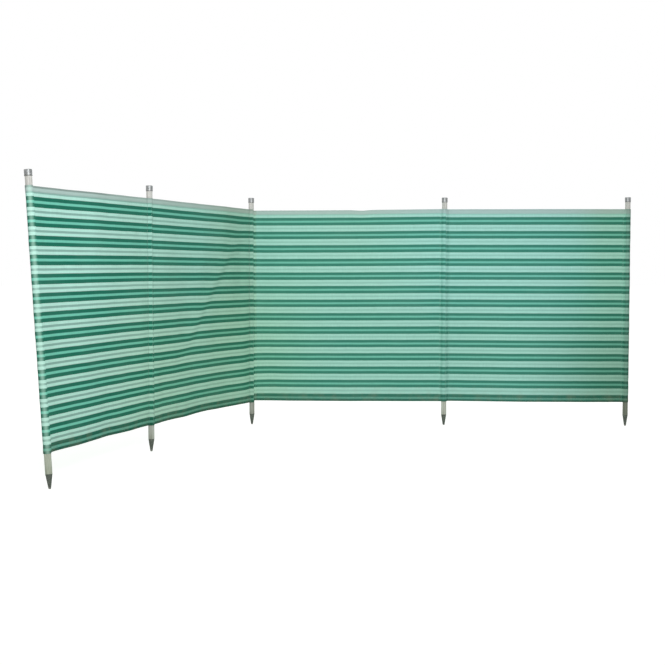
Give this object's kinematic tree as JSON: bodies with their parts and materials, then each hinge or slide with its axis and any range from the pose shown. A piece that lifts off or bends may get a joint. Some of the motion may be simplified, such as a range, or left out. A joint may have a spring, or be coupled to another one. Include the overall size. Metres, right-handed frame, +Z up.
{
  "type": "beach windbreak",
  "caption": "Striped cloth windbreak in bays on upright wooden poles with steel caps and tips, set up in an L; the bays swing on the inner poles.",
  "frame": {"origin": "centre of the blunt foot of the corner pole", "axes": "+X along the right wing, +Z up, -Y towards the sheltered side of the L"},
  "size_m": [3.1417, 2.2597, 1.4204],
  "materials": {
    "pole_wood": "weathered, bare",
    "steel": "galvanised, dull",
    "striped_cloth": "woven stripes, matt"
  },
  "bodies": {
    "right_inner": {"right_inner_panel": "striped_cloth", "corner_pole": "pole_wood", "corner_cap": "steel", "corner_tip": "steel", "corner_pocket": "striped_cloth", "right_mid_pole": "pole_wood", "right_mid_cap": "steel", "right_mid_tip": "steel", "right_mid_pocket": "striped_cloth"},
    "right_outer": {"right_outer_panel": "striped_cloth", "right_end_pole": "pole_wood", "right_end_cap": "steel", "right_end_tip": "steel", "right_end_pocket": "striped_cloth"},
    "left_inner": {"left_inner_panel": "striped_cloth", "left_mid_pole": "pole_wood", "left_mid_cap": "steel", "left_mid_tip": "steel", "left_mid_pocket": "striped_cloth"},
    "left_outer": {"left_outer_panel": "striped_cloth", "left_end_pole": "pole_wood", "left_end_cap": "steel", "left_end_tip": "steel", "left_end_pocket": "striped_cloth"}
  },
  "joints": [
    {"name": "corner_swing", "type": "hinge", "parent": "right_inner", "child": "left_inner", "pos_m": [0, 0, 0], "axis": [0, 0, 1], "range_deg": [-154, 16]},
    {"name": "left_swing", "type": "hinge", "parent": "left_inner", "child": "left_outer", "pos_m": [-0.43183, -1.12496, 0], "axis": [0, 0, 1], "range_deg": [-93, 77]},
    {"name": "right_swing", "type": "hinge", "parent": "right_inner", "child": "right_outer", "pos_m": [1.205, 0, 0], "axis": [0, 0, -1], "range_deg": [-85, 85]}
  ]
}
